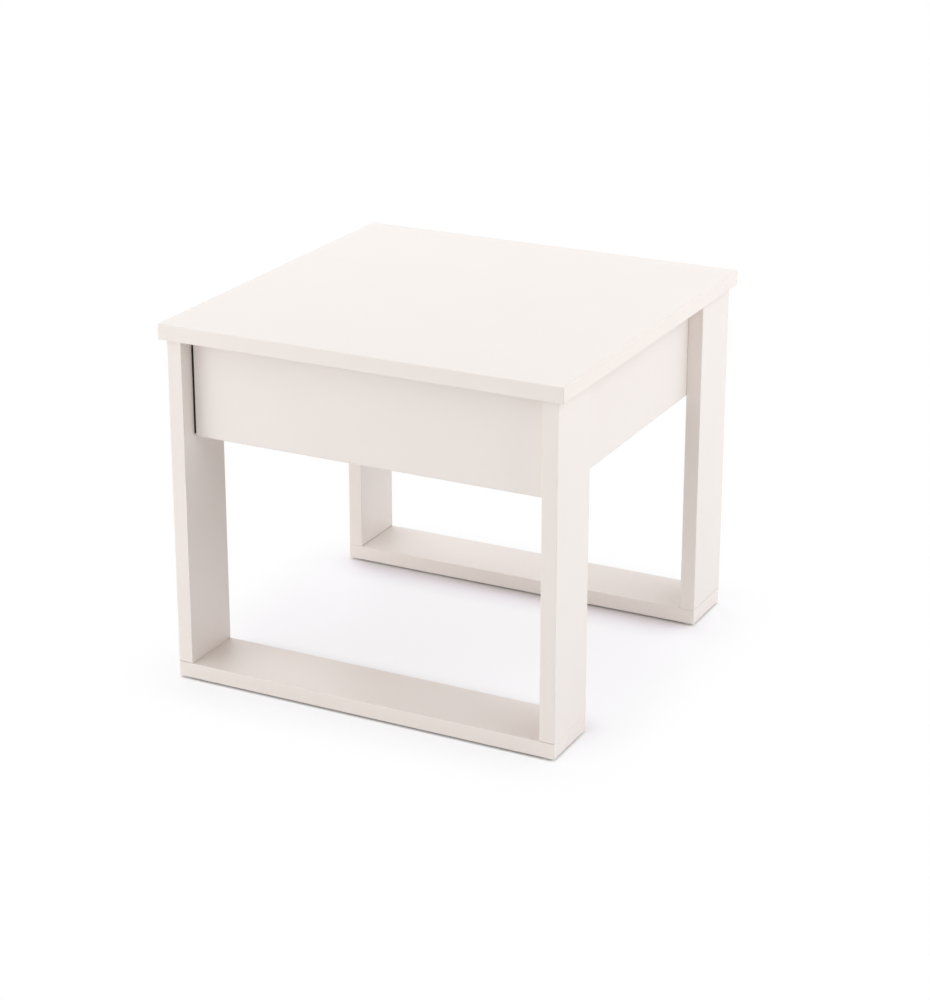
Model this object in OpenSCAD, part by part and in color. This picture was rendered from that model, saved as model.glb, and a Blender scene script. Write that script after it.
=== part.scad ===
// Square coffee table with one drawer, on two open leg frames of laminated board.
// Millimetres. +Z is up, +X is the table's right side and the drawer opens towards -Y.
// The origin is on the floor, under the centre of the tabletop.

/* [Tabletop] */
// Width of the tabletop, left to right
top_w = 600; // [480:5:900]
// Depth of the tabletop, front to back
top_d = 600; // [450:5:900]
// Thickness of the tabletop board
top_t = 22; // [18:1:40]
// Height of the top surface above the floor
table_h = 520; // [360:5:750]
// How far the tabletop reaches past the legs' outer faces
overhang_x = 10; // [0:1:40]
// How far the tabletop reaches past the legs' front and rear edges
overhang_y = 6; // [0:1:40]

/* [Leg frames] */
// Thickness of a leg board
leg_t = 22; // [18:1:40]
// Width of a leg board from front to back, which the base rails share
leg_w = 100; // [80:1:140]
// Thickness of a base rail
rail_t = 22; // [18:1:30]
// Distance between the two screws that hold a leg on its base rail
rail_screw_spacing = 40; // [30:1:50]
// Distance between the two dowels in the top end of a leg
leg_dowel_spacing = 50; // [20:1:70]

/* [Glides] */
// Diameter of a nail-on glide
glide_d = 18; // [12:1:22]
// Height of a glide under the base rail
glide_t = 3; // [2:0.5:6]
// Distance from a glide's rim to the edges of the base rail
glide_edge = 4; // [1:0.5:8]
// Diameter of a glide's nail
nail_d = 2; // [1.5:0.1:3]
// Depth that a glide's nail reaches into the base rail
nail_len = 12; // [8:1:16]

/* [Case] */
// Height of the case under the tabletop
case_h = 142; // [132:1:220]
// Thickness of a side panel
side_t = 18; // [16:1:22]
// Thickness of the back panel
back_t = 18; // [15:1:25]
// How far the back panel lies inside the legs' rear edges
back_recess = 25; // [5:1:40]
// Thickness of the front stretcher under the tabletop
stretcher_t = 18; // [15:1:22]
// Depth of the front stretcher, front to back
stretcher_w = 70; // [60:1:120]
// Distance of the two columns of screws that hold the side panel from the ends of its seat on a leg
panel_screw_edge = 12; // [8:1:14]
// Height of the lower row of side panel screws above the case's bottom edge
panel_screw_low = 20; // [10:1:28]
// Distance of the upper row of side panel screws below the tabletop
panel_screw_high = 34; // [30:1:38]

/* [Top brackets] */
// Length of each arm of an angle bracket
bracket_arm = 20; // [16:1:26]
// Width of an angle bracket
bracket_w = 20; // [12:1:40]
// Thickness of an angle bracket's sheet
bracket_t = 2; // [1:0.5:3]

/* [Drawer] */
// Thickness of the drawer front
front_t = 18; // [16:1:22]
// How far the drawer front lies behind the legs' front edges
front_recess = 25; // [5:1:40]
// Gap between each end of the drawer front and the leg beside it
front_side_gap = 3; // [1:0.5:6]
// Gap between the drawer front and the tabletop
front_top_gap = 2; // [1:0.5:5]
// Gap between the closed drawer front and the front edges of the side panels
front_rear_gap = 2; // [1:0.5:4]
// Thickness of the drawer's sides and back
box_t = 12; // [12:1:16]
// Height of the drawer sides' lower edges above the case's bottom edge
box_lift = 14; // [6:1:18]
// Space between the drawer sides' upper edges and the tabletop
box_headroom = 33; // [28:1:42]
// Thickness of the drawer's bottom panel
bottom_t = 3; // [3:0.5:6]
// Height of the bottom panel above the drawer sides' lower edges
groove_lift = 8; // [5:0.5:10]
// Depth of the grooves that hold the bottom panel
groove_depth = 5; // [3:0.5:6]

/* [Drawer slides] */
// Height of a slide's outer member
slide_h = 45; // [44:0.5:50]
// Width of the space that a slide fills beside the drawer
slide_t = 12.7; // [12.5:0.1:14]
// Thickness of the slides' steel
slide_metal = 1.2; // [1:0.1:1.3]
// Step in which slides are sold, which their length is a multiple of
slide_step = 50; // [25:5:50]
// Least space behind a closed slide
slide_rear_space = 20; // [5:1:50]
// Diameter of the bearing balls
ball_d = 3.5; // [3:0.1:3.8]
// Bearing balls in one row
ball_count = 8; // [4:1:14]
// How far the drawer's travel stops short of the slides' length
travel_stop = 10; // [0:1:60]

/* [Fasteners] */
// Shank diameter of the connecting screws
confirmat_d = 7; // [5:0.5:8]
// Length of the connecting screws
confirmat_len = 50; // [40:1:70]
// Head diameter of the connecting screws
confirmat_head_d = 10; // [9:0.5:11]
// Shank diameter of the panel screws and bracket screws
screw_d = 4; // [3:0.5:4.5]
// Length of the panel screws
screw_len = 30; // [24:1:33]
// Length of the bracket screws and of the screws under the drawer
short_screw_len = 15; // [10:1:16]
// Shank diameter of the slide screws
slide_screw_d = 3.5; // [3:0.1:4]
// Length of the slide screws
slide_screw_len = 12; // [8:0.5:12.5]
// Distance from a slide's ends to its first and last screw
slide_screw_end = 35; // [25:1:60]
// Diameter of the beech dowels in the legs
dowel_d = 8; // [6:0.5:10]
// Length of the beech dowels in the legs
dowel_len = 30; // [20:1:40]
// Depth that a leg's dowels reach into the tabletop and the base rails
dowel_bite = 12; // [8:1:14]
// Diameter of the drawer's dowels
small_dowel_d = 6; // [5:0.5:7]
// Length of the drawer's dowels
small_dowel_len = 25; // [20:1:35]
// Depth that the drawer's dowels reach into the drawer front
small_dowel_bite = 10; // [6:1:12]
// Diameter of a cam lock
cam_d = 15; // [12:0.5:18]
// Depth of a cam lock
cam_depth = 9.5; // [9:0.1:10]
// Distance from the drawer front to the centre of a cam lock
cam_reach = 24; // [20:1:34]
// Head diameter of the bolt that a cam lock grips
cam_bolt_d = 6.4; // [5:0.1:7]
// Depth that a cam bolt's thread reaches into the drawer front
cam_bolt_bite = 11; // [8:1:13]
// Diameter of the drawer's bumpers
bumper_d = 8; // [6:0.5:12]

/* [Hidden] */
$fn = 48;
// Clearance round a fastener in its hole
fit_gap = 0.05;
// Clearance round the drawer's bottom panel in its grooves
groove_gap = 0.3;
// Clearance between a bumper and the closed drawer front
bumper_gap = 0.2;
// Clearance between a ball and its track
ball_gap = 0.1;
// Clearance between the sheets of a slide
slide_play = 0.15;
// How far a cutting shape reaches past the surface that it opens
cut_over = 1;

leg_out_x = top_w / 2 - overhang_x;
leg_in_x = leg_out_x - leg_t;
leg_mid_x = leg_out_x - leg_t / 2;
frame_y = top_d / 2 - overhang_y;
leg_inner_y = frame_y - leg_w;
leg_mid_y = frame_y - leg_w / 2;
rail_top_z = glide_t + rail_t;
rail_screw_ys = [leg_mid_y - rail_screw_spacing / 2, leg_mid_y + rail_screw_spacing / 2];
leg_dowel_ys = [leg_mid_y - leg_dowel_spacing / 2, leg_mid_y + leg_dowel_spacing / 2];
under_top_z = table_h - top_t;
case_z = under_top_z - case_h;

side_in_x = leg_in_x - side_t;
front_face_y = -frame_y + front_recess;
front_back_y = front_face_y + front_t;
side_front_y = front_back_y + front_rear_gap;
side_rear_y = frame_y - back_recess;
back_front_y = side_rear_y - back_t;
back_mid_y = side_rear_y - back_t / 2;
stretcher_z = under_top_z - stretcher_t;
stretcher_rear_y = side_front_y + stretcher_w;

// The slides start just inside the side panels and are the longest stock length that fits
slide_setback = 1;
slide_front_y = side_front_y + slide_setback;
slide_len = slide_step * floor((back_front_y - slide_front_y - slide_rear_space) / slide_step);
slide_rear_y = slide_front_y + slide_len;
travel = slide_len - travel_stop;

box_out_x = side_in_x - slide_t;
box_in_x = box_out_x - box_t;
box_mid_x = box_out_x - box_t / 2;
box_z = case_z + box_lift;
box_top_z = under_top_z - box_headroom;
box_mid_z = (box_z + box_top_z) / 2;
box_rear_y = slide_rear_y;
bottom_z = box_z + groove_lift;
bottom_top_z = bottom_z + bottom_t;
front_end_x = leg_in_x - front_side_gap;
front_top_z = under_top_z - front_top_gap;

// Columns of screws through the side panel, where it lies on a leg and clear of the boards at its ends
panel_seat_y = min(back_front_y, -side_front_y);
panel_screw_ys = [leg_inner_y + panel_screw_edge, panel_seat_y - panel_screw_edge];
panel_screw_zs = [case_z + panel_screw_low, under_top_z - panel_screw_high];
// Connecting screws through the side panel into the back panel
back_screw_edge = 25;
back_screw_zs = [case_z + back_screw_edge, case_z + case_h / 2, under_top_z - back_screw_edge];
// Screws up through the front stretcher into the tabletop
stretcher_mid_y = (side_front_y + stretcher_rear_y) / 2;
stretcher_screw_xs = [for (i = [-1 : 1]) i * side_in_x * 0.6];
slide_mid_y = (slide_front_y + slide_rear_y) / 2;
slide_screw_ys = [slide_front_y + slide_screw_end, slide_mid_y, slide_rear_y - slide_screw_end];
// Screws through the drawer's side into its back, and up through its bottom panel
box_screw_edge = 12;
box_screw_zs = [bottom_top_z + box_screw_edge, box_top_z - box_screw_edge];
bottom_screw_xs = [for (i = [-1 : 1]) i * box_in_x * 0.7];
// Cam locks of the drawer front, above the groove and below the drawer side's upper edge
cam_edge = 16;
cam_zs = [bottom_top_z + cam_edge, box_top_z - cam_edge];
// Thread, neck and head of a cam bolt
cam_thread_d = 5;
cam_neck_d = 4;
cam_head_len = 5;
cam_collar = 2;
// How far the bolt's channel reaches past the middle of a cam lock
cam_past = 2;
// Bumpers on the front edges of the side panels
bumper_edge = 25;
bumper_zs = [case_z + bumper_edge, under_top_z - bumper_edge];
// Angle brackets, spread along the tabletop behind the stretcher and along the back panel
bracket_zone = back_front_y - stretcher_rear_y;
side_bracket_ys = [stretcher_rear_y + bracket_zone / 4, back_front_y - bracket_zone / 4];
back_bracket_xs = [-side_in_x * 0.4, side_in_x * 0.4];
// Cross recess of a screw head, as shares of the shank's diameter
recess = [1.15, 0.24, 0.35];
// Height of a pan head, as a share of the shank's diameter
pan_head = 0.6;
// Straight rim of a connecting screw's head, and its hexagon socket as a share of the shank's diameter
confirmat_rim = 1;
confirmat_head_h = (confirmat_head_d - confirmat_d) / 2 + confirmat_rim;
confirmat_socket = 0.65;

// The three nested members of a slide, as half heights and as depths from the side panel
track_space = ball_d + 2 * ball_gap;
outer_half = slide_h / 2;
middle_half = outer_half - slide_metal - track_space;
inner_half = middle_half - slide_metal - track_space;
cage_metal = 0.5;
outer_cage_depth = slide_metal + slide_play;
middle_depth = outer_cage_depth + cage_metal + slide_play;
inner_cage_depth = middle_depth + slide_metal + slide_play;
inner_depth = inner_cage_depth + cage_metal + slide_play * 2;
// How far the free edges of the outer and middle members stay from the drawer's side
slide_edge_gap = 0.7;
// Height of the lips that keep the balls in their tracks
lip = 1;
lip_gap = 0.6;
ball_depth = slide_t - slide_edge_gap - slide_metal - lip_gap - ball_d / 2;
cage_end_depth = slide_t - slide_edge_gap * 2;
// A ball cage stays between its two members at both ends of the travel
cage_margin = 30;
cage_len = slide_len - travel / 2 - cage_margin;
cage_start_y = slide_front_y + (slide_len - cage_len) / 2;
ball_end = 10;
ball_pitch = (cage_len - 2 * ball_end) / (ball_count - 1);
ball_ys = [for (i = [0 : ball_count - 1]) cage_start_y + ball_end + i * ball_pitch];

LAMINATE = [0.93, 0.90, 0.87];
STEEL = [0.72, 0.73, 0.74];
BEECH = [0.80, 0.64, 0.44];
HARDBOARD = [0.86, 0.83, 0.79];
PLASTIC = [0.88, 0.87, 0.85];
RUBBER = [0.80, 0.80, 0.80];

// Mirrors its children to the table's left side when side is -1
module on_side(side) {
  if (side < 0) mirror([1, 0, 0]) children();
  else children();
}

// Mirrors its children to the table's front when end is -1
module on_end(end) {
  if (end < 0) mirror([0, 1, 0]) children();
  else children();
}

// Both sides of the table
module both_sides() {
  for (side = [-1, 1]) on_side(side) children();
}

// A board between two opposite corners, less its children
module board(low, high) {
  difference() {
    translate(low) cube(high - low);
    children();
  }
}

// Turns a shape that points along +Z to point along +X, -X, +Y or -Y
module along_x() { rotate([0, 90, 0]) children(); }
module against_x() { rotate([0, -90, 0]) children(); }
module along_y() { rotate([-90, 0, 0]) children(); }
module against_y() { rotate([90, 0, 0]) children(); }

// Cross recess for a driver, sunk into a face at the origin
module cross_recess(size) {
  for (a = [0, 90]) rotate([0, 0, a]) cube([size.x, size.y, size.z * 2], center = true);
}

// Countersunk screw pointing along +Z, with the face of its head at the origin
module flat_screw(d, len) {
  head_h = d / 2;
  difference() {
    rotate_extrude() polygon([[0, 0], [d, 0], [d / 2, head_h], [d / 2, len - d], [0, len]]);
    cross_recess(recess * d);
  }
}

// Hole for a countersunk screw
module flat_screw_hole(d, len) {
  r = d / 2 + fit_gap;
  head_r = d + fit_gap;
  end = len + fit_gap;
  rotate_extrude() polygon([
    [0, -cut_over], [head_r, -cut_over], [head_r, 0], [r, d / 2], [r, end], [0, end]
  ]);
}

// Pan-head screw pointing along +Z, with the underside of its head at the origin
module pan_screw(d, len) {
  head_h = pan_head * d;
  difference() {
    rotate_extrude() polygon([
      [0, -head_h], [d * 0.55, -head_h], [d * 0.85, -head_h * 0.75], [d, -head_h * 0.35],
      [d, 0], [d / 2, 0], [d / 2, len - d], [0, len]
    ]);
    translate([0, 0, -head_h]) cross_recess(recess * d);
  }
}

// Straight hole along +Z for a pan-head screw, a dowel or a nail
module plain_hole(d, len) {
  translate([0, 0, -cut_over]) cylinder(d = d + 2 * fit_gap, h = len + fit_gap + cut_over);
}

// Hole along +Z whose closed end lies just below the origin, for a piece that stands there
module blind_hole(d, len) {
  translate([0, 0, -fit_gap]) cylinder(d = d + 2 * fit_gap, h = len);
}

// Connecting screw with a hexagon socket, pointing along +Z, with the face of its head at the origin
module confirmat() {
  head_r = confirmat_head_d / 2;
  r = confirmat_d / 2;
  difference() {
    rotate_extrude() polygon([
      [0, 0], [head_r, 0], [head_r, confirmat_rim], [r, confirmat_head_h],
      [r, confirmat_len - r], [0, confirmat_len]
    ]);
    translate([0, 0, -cut_over]) cylinder(d = confirmat_socket * confirmat_d, h = r + cut_over, $fn = 6);
  }
}

// Hole for a connecting screw
module confirmat_hole() {
  r = confirmat_d / 2 + fit_gap;
  head_r = confirmat_head_d / 2 + fit_gap;
  end = confirmat_len + fit_gap;
  rotate_extrude() polygon([
    [0, -cut_over], [head_r, -cut_over], [head_r, confirmat_rim], [r, confirmat_head_h], [r, end], [0, end]
  ]);
}

// Dowel with chamfered ends, standing on the origin
module dowel(d, len) {
  chamfer = d / 8;
  rotate_extrude() polygon([
    [0, 0], [d / 2 - chamfer, 0], [d / 2, chamfer], [d / 2, len - chamfer], [d / 2 - chamfer, len], [0, len]
  ]);
}

// Places of the fasteners, each with its axis turned the way it is driven

// Screws up through the base rails into the legs' lower ends
module at_rail_screws() {
  for (s = [-1, 1], y = rail_screw_ys) translate([s * leg_mid_x, y, glide_t]) children();
}

// Dowels between a base rail and its legs
module at_rail_dowels() {
  for (s = [-1, 1]) translate([s * leg_mid_x, leg_mid_y, rail_top_z - dowel_bite]) children();
}

// Dowels between a leg and the tabletop
module at_leg_dowels() {
  for (y = leg_dowel_ys) translate([leg_mid_x, y, under_top_z + dowel_bite - dowel_len]) children();
}

// Screws from inside the right side panel into one leg, which both ends share
module at_leg_panel_screws() {
  for (y = panel_screw_ys, z = panel_screw_zs) translate([side_in_x, y, z]) along_x() children();
}

// Connecting screws through the right side panel into the stretcher's end
module at_stretcher_end_screws() {
  for (y = panel_screw_ys) translate([leg_in_x, -y, stretcher_z + stretcher_t / 2]) against_x() children();
}

// Connecting screws through the right side panel into the back panel
module at_back_screws() {
  for (z = back_screw_zs) translate([leg_in_x, back_mid_y, z]) against_x() children();
}

// Screws up through the stretcher into the tabletop
module at_stretcher_screws() {
  for (x = stretcher_screw_xs) translate([x, stretcher_mid_y, stretcher_z]) children();
}

// Angle brackets: a frame with its corner at the joint of a panel and the tabletop, arms along +X and -Z
module at_side_brackets() {
  both_sides() for (y = side_bracket_ys)
    translate([side_in_x, y, under_top_z]) rotate([0, 0, 180]) children();
}
module at_back_brackets() {
  for (x = back_bracket_xs) translate([x, back_front_y, under_top_z]) rotate([0, 0, -90]) children();
}

// Screws of one bracket, into the tabletop and into the panel
module at_bracket_top_screw() {
  translate([bracket_arm * 0.6, 0, -bracket_t]) children();
}
module at_bracket_panel_screw() {
  translate([bracket_t, 0, -bracket_arm * 0.6]) against_x() children();
}

// Screws of the right slide's outer member into the side panel
module at_slide_case_screws() {
  for (y = slide_screw_ys) translate([side_in_x - slide_metal, y, box_mid_z]) along_x() children();
}

// Screws of the right slide's inner member into the drawer side
module at_slide_drawer_screws() {
  for (y = slide_screw_ys) translate([box_out_x + slide_metal, y, box_mid_z]) against_x() children();
}

// Screws through the drawer's right side into its back
module at_box_back_screws() {
  for (z = box_screw_zs) translate([box_out_x, box_rear_y - box_t / 2, z]) against_x() children();
}

// Screws up through the drawer's bottom panel into its back
module at_bottom_screws() {
  for (x = bottom_screw_xs) translate([x, box_rear_y - box_t / 2, bottom_z]) children();
}

// Cam locks and their bolts in the drawer's right side
module at_cams() {
  for (z = cam_zs) translate([box_in_x, front_back_y + cam_reach, z]) along_x() children();
}
module at_cam_bolts() {
  for (z = cam_zs) translate([box_mid_x, front_back_y, z]) along_y() children();
}
module at_drawer_dowel() {
  translate([box_mid_x, front_back_y - small_dowel_bite, box_mid_z]) along_y() children();
}

// Holes that a row of side panel screws shares with the leg
module leg_panel_screw_holes() {
  at_leg_panel_screws() flat_screw_hole(screw_d, screw_len);
}

// Boards of the frame

module tabletop() {
  color(LAMINATE) board([-top_w / 2, -top_d / 2, under_top_z], [top_w / 2, top_d / 2, table_h]) {
    both_sides() for (end = [-1, 1]) on_end(end) at_leg_dowels() plain_hole(dowel_d, dowel_len);
    at_stretcher_screws() flat_screw_hole(screw_d, screw_len);
    at_side_brackets() at_bracket_top_screw() plain_hole(screw_d, short_screw_len);
    at_back_brackets() at_bracket_top_screw() plain_hole(screw_d, short_screw_len);
  }
}

// One leg, drawn at the rear right corner and mirrored to its own
module leg(side, end) {
  color(LAMINATE) on_side(side) on_end(end)
    board([leg_in_x, leg_inner_y, rail_top_z], [leg_out_x, frame_y, under_top_z]) {
      at_rail_screws() confirmat_hole();
      at_rail_dowels() plain_hole(dowel_d, dowel_len);
      at_leg_dowels() blind_hole(dowel_d, dowel_len);
      leg_panel_screw_holes();
    }
}

module base_rail(end) {
  color(LAMINATE) on_end(end)
    board([-leg_out_x, leg_inner_y, glide_t], [leg_out_x, frame_y, rail_top_z]) {
      at_rail_screws() confirmat_hole();
      at_rail_dowels() blind_hole(dowel_d, dowel_len);
      at_glides() translate([0, 0, glide_t]) plain_hole(nail_d, nail_len);
    }
}

// Glides of the rear base rail, near its corners
module at_glides() {
  inset = glide_edge + glide_d / 2;
  x = leg_out_x - inset;
  for (s = [-1, 1], y = [leg_inner_y + inset, frame_y - inset]) translate([s * x, y, 0]) children();
}

// Glides: a disc with a softened rim and the nail moulded into it
module glides() {
  rim = glide_t / 3;
  color(PLASTIC) for (end = [-1, 1]) on_end(end) at_glides()
    rotate_extrude() polygon([
      [0, 0], [glide_d / 2 - rim, 0], [glide_d / 2, rim], [glide_d / 2, glide_t], [nail_d / 2, glide_t],
      [nail_d / 2, glide_t + nail_len - nail_d], [0, glide_t + nail_len]
    ]);
}

// Boards of the case

module side_panel(side) {
  color(LAMINATE) on_side(side)
    board([side_in_x, side_front_y, case_z], [leg_in_x, side_rear_y, under_top_z]) {
      for (end = [-1, 1]) on_end(end) leg_panel_screw_holes();
      at_stretcher_end_screws() confirmat_hole();
      at_back_screws() confirmat_hole();
      at_side_brackets() at_bracket_panel_screw() plain_hole(screw_d, short_screw_len);
      at_slide_case_screws() flat_screw_hole(slide_screw_d, slide_screw_len);
    }
}

module back_panel() {
  color(LAMINATE) board([-side_in_x, back_front_y, case_z], [side_in_x, side_rear_y, under_top_z]) {
    both_sides() at_back_screws() confirmat_hole();
    at_back_brackets() at_bracket_panel_screw() plain_hole(screw_d, short_screw_len);
  }
}

module front_stretcher() {
  color(LAMINATE) board([-side_in_x, side_front_y, stretcher_z], [side_in_x, stretcher_rear_y, under_top_z]) {
    both_sides() at_stretcher_end_screws() confirmat_hole();
    at_stretcher_screws() flat_screw_hole(screw_d, screw_len);
  }
}

// One angle bracket in its own frame
module bracket() {
  difference() {
    union() {
      translate([0, -bracket_w / 2, -bracket_t]) cube([bracket_arm, bracket_w, bracket_t]);
      translate([0, -bracket_w / 2, -bracket_arm]) cube([bracket_t, bracket_w, bracket_arm]);
    }
    at_bracket_top_screw() plain_hole(screw_d, bracket_t + cut_over);
    at_bracket_panel_screw() plain_hole(screw_d, bracket_t + cut_over);
  }
}

module top_brackets() {
  color(STEEL) at_side_brackets() bracket();
  color(STEEL) at_back_brackets() bracket();
}

// Fasteners of the frame and case

module bracket_screw_pair() {
  at_bracket_top_screw() pan_screw(screw_d, short_screw_len);
  at_bracket_panel_screw() pan_screw(screw_d, short_screw_len);
}

module bracket_screws() {
  color(STEEL) at_side_brackets() bracket_screw_pair();
  color(STEEL) at_back_brackets() bracket_screw_pair();
}

module stretcher_screws() {
  color(STEEL) at_stretcher_screws() flat_screw(screw_d, screw_len);
}

module rail_screws() {
  color(STEEL) for (end = [-1, 1]) on_end(end) at_rail_screws() confirmat();
}

module rail_dowels() {
  color(BEECH) for (end = [-1, 1]) on_end(end) at_rail_dowels() dowel(dowel_d, dowel_len);
}

module leg_top_dowels() {
  color(BEECH) both_sides() for (end = [-1, 1]) on_end(end) at_leg_dowels() dowel(dowel_d, dowel_len);
}

module leg_panel_screws() {
  color(STEEL) both_sides() for (end = [-1, 1]) on_end(end)
    at_leg_panel_screws() flat_screw(screw_d, screw_len);
}

module case_screws() {
  color(STEEL) both_sides() at_stretcher_end_screws() confirmat();
  color(STEEL) both_sides() at_back_screws() confirmat();
}

// Boards of the drawer

module drawer_front() {
  color(LAMINATE) board([-front_end_x, front_face_y, case_z], [front_end_x, front_back_y, front_top_z]) {
    both_sides() at_cam_bolts() translate([0, 0, -cam_bolt_bite]) blind_hole(cam_thread_d, cam_reach);
    both_sides() at_drawer_dowel() blind_hole(small_dowel_d, small_dowel_len);
    translate([-box_in_x - groove_depth, front_back_y - groove_depth, bottom_z])
      cube([2 * (box_in_x + groove_depth), groove_depth + cut_over, bottom_t + groove_gap]);
  }
}

module drawer_side(side) {
  color(LAMINATE) on_side(side)
    board([box_in_x, front_back_y, box_z], [box_out_x, box_rear_y, box_top_z]) {
      translate([box_in_x - cut_over, front_back_y - cut_over, bottom_z])
        cube([groove_depth + cut_over, box_rear_y - front_back_y + 2 * cut_over, bottom_t + groove_gap]);
      at_cams() plain_hole(cam_d, cam_depth);
      at_cam_bolts() plain_hole(cam_bolt_d, cam_reach);
      at_drawer_dowel() plain_hole(small_dowel_d, small_dowel_len);
      at_box_back_screws() flat_screw_hole(screw_d, screw_len);
      at_slide_drawer_screws() flat_screw_hole(slide_screw_d, slide_screw_len);
    }
}

module drawer_back() {
  color(LAMINATE) board([-box_in_x, box_rear_y - box_t, bottom_top_z], [box_in_x, box_rear_y, box_top_z]) {
    both_sides() at_box_back_screws() flat_screw_hole(screw_d, screw_len);
    at_bottom_screws() plain_hole(screw_d, short_screw_len);
  }
}

module drawer_bottom() {
  edge_x = box_in_x + groove_depth - groove_gap;
  front_y = front_back_y - groove_depth + groove_gap;
  color(HARDBOARD) board([-edge_x, front_y, bottom_z], [edge_x, box_rear_y, bottom_top_z])
    at_bottom_screws() plain_hole(screw_d, short_screw_len);
}

// Fasteners of the drawer

// Cam lock pointing along +Z into the drawer side, with its face at the origin and the bolt coming in from -Y
module cam_lock() {
  difference() {
    cylinder(d = cam_d, h = cam_depth);
    translate([0, -cam_d, box_t / 2]) along_y() cylinder(d = cam_bolt_d + 4 * fit_gap, h = cam_d + cam_past);
    cross_recess([cam_d * 0.55, 1.2, 1.2]);
  }
}

module cam_locks() {
  color(STEEL) both_sides() at_cams() cam_lock();
}

// Bolt screwed into the drawer front, with a collar at the joint and its head inside the cam lock
module cam_bolts() {
  r = cam_bolt_d / 2;
  head_start = cam_reach - cam_head_len;
  color(STEEL) both_sides() at_cam_bolts() rotate_extrude() polygon([
    [0, -cam_bolt_bite], [cam_thread_d / 2, -cam_bolt_bite + cam_thread_d / 2], [cam_thread_d / 2, 0],
    [r, 0], [r, cam_collar], [cam_neck_d / 2, cam_collar], [cam_neck_d / 2, head_start],
    [r, head_start], [r, cam_reach - r / 2], [r / 2, cam_reach], [0, cam_reach]
  ]);
}

module drawer_dowels() {
  color(BEECH) both_sides() at_drawer_dowel() dowel(small_dowel_d, small_dowel_len);
}

module drawer_back_screws() {
  color(STEEL) both_sides() at_box_back_screws() flat_screw(screw_d, screw_len);
}

module drawer_bottom_screws() {
  color(STEEL) at_bottom_screws() pan_screw(screw_d, short_screw_len);
}

// Bumpers stuck on the front edges of the side panels
module drawer_bumpers() {
  bumper_t = front_rear_gap - bumper_gap;
  color(RUBBER) both_sides() for (z = bumper_zs)
    translate([(side_in_x + front_end_x) / 2, side_front_y, z]) against_y()
      cylinder(d1 = bumper_d, d2 = bumper_d - bumper_t, h = bumper_t);
}

// Drawer slides

// Draws a slide section along the right side panel: X is the depth from the panel and Y is the height
module along_slide(start_y, len) {
  translate([side_in_x, start_y, box_mid_z]) rotate([90, 0, 180]) linear_extrude(len) children();
}

// Channel section open towards the drawer, with turned-in lips
module channel(depth, half, end, metal, lip_h) {
  difference() {
    translate([depth, -half]) square([end - depth, 2 * half]);
    translate([depth + metal, -half + metal]) square([end - depth - 2 * metal, 2 * (half - metal)]);
    translate([depth + metal, -half + metal + lip_h]) square([end - depth, 2 * (half - metal - lip_h)]);
  }
}

module slide_outer(side) {
  color(STEEL) on_side(side) difference() {
    along_slide(slide_front_y, slide_len) channel(0, outer_half, slide_t - slide_edge_gap, slide_metal, lip);
    at_slide_case_screws() flat_screw_hole(slide_screw_d, slide_screw_len);
  }
}

module slide_middle(side) {
  color(STEEL) on_side(side)
    along_slide(slide_front_y, slide_len)
      channel(middle_depth, middle_half, slide_t - slide_edge_gap, slide_metal, lip);
}

// Channel on the drawer's side, open towards the side panel
module slide_inner(side) {
  color(STEEL) on_side(side) difference() {
    along_slide(slide_front_y, slide_len) difference() {
      translate([inner_depth, -inner_half]) square([slide_t - inner_depth, 2 * inner_half]);
      translate([inner_depth - 1, -inner_half + slide_metal])
        square([slide_t - slide_metal - inner_depth + 1, 2 * (inner_half - slide_metal)]);
    }
    at_slide_drawer_screws() flat_screw_hole(slide_screw_d, slide_screw_len);
  }
}

// Places of the balls in the two rows of one cage
module at_balls(half) {
  row = half - slide_metal - track_space / 2;
  for (y = ball_ys, i = [-1, 1]) translate([side_in_x - ball_depth, y, box_mid_z + i * row]) children();
}

// Sheet that keeps one set of balls apart
module ball_cage(side, depth, half) {
  row = half - slide_metal - track_space / 2;
  color(STEEL) on_side(side) difference() {
    along_slide(cage_start_y, cage_len) channel(depth, row + cage_metal / 2, cage_end_depth, cage_metal, 0);
    at_balls(half) cylinder(d = ball_d + 4 * ball_gap, h = track_space, center = true);
  }
}

module balls(side, half) {
  color(STEEL) on_side(side) at_balls(half) sphere(d = ball_d);
}

module slide_case_screws() {
  color(STEEL) both_sides() at_slide_case_screws() flat_screw(slide_screw_d, slide_screw_len);
}

module slide_drawer_screws() {
  color(STEEL) both_sides() at_slide_drawer_screws() flat_screw(slide_screw_d, slide_screw_len);
}

tabletop();
leg(-1, -1);  // leg_front_left
leg(1, -1);  // leg_front_right
leg(-1, 1);  // leg_rear_left
leg(1, 1);  // leg_rear_right
base_rail(-1);  // base_rail_front
base_rail(1);  // base_rail_rear
glides();
side_panel(-1);  // side_panel_left
side_panel(1);  // side_panel_right
back_panel();
front_stretcher();
top_brackets();
bracket_screws();
stretcher_screws();
rail_screws();
rail_dowels();
leg_top_dowels();
leg_panel_screws();
case_screws();
drawer_front();
drawer_side(-1);  // drawer_side_left
drawer_side(1);  // drawer_side_right
drawer_back();
drawer_bottom();
cam_locks();
cam_bolts();
drawer_dowels();
drawer_back_screws();
drawer_bottom_screws();
drawer_bumpers();
slide_outer(-1);  // slide_outer_left
slide_outer(1);  // slide_outer_right
slide_middle(-1);  // slide_middle_left
slide_middle(1);  // slide_middle_right
slide_inner(-1);  // slide_inner_left
slide_inner(1);  // slide_inner_right
ball_cage(-1, outer_cage_depth, outer_half);  // ball_cage_outer_left
ball_cage(1, outer_cage_depth, outer_half);  // ball_cage_outer_right
ball_cage(-1, inner_cage_depth, middle_half);  // ball_cage_inner_left
ball_cage(1, inner_cage_depth, middle_half);  // ball_cage_inner_right
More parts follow.
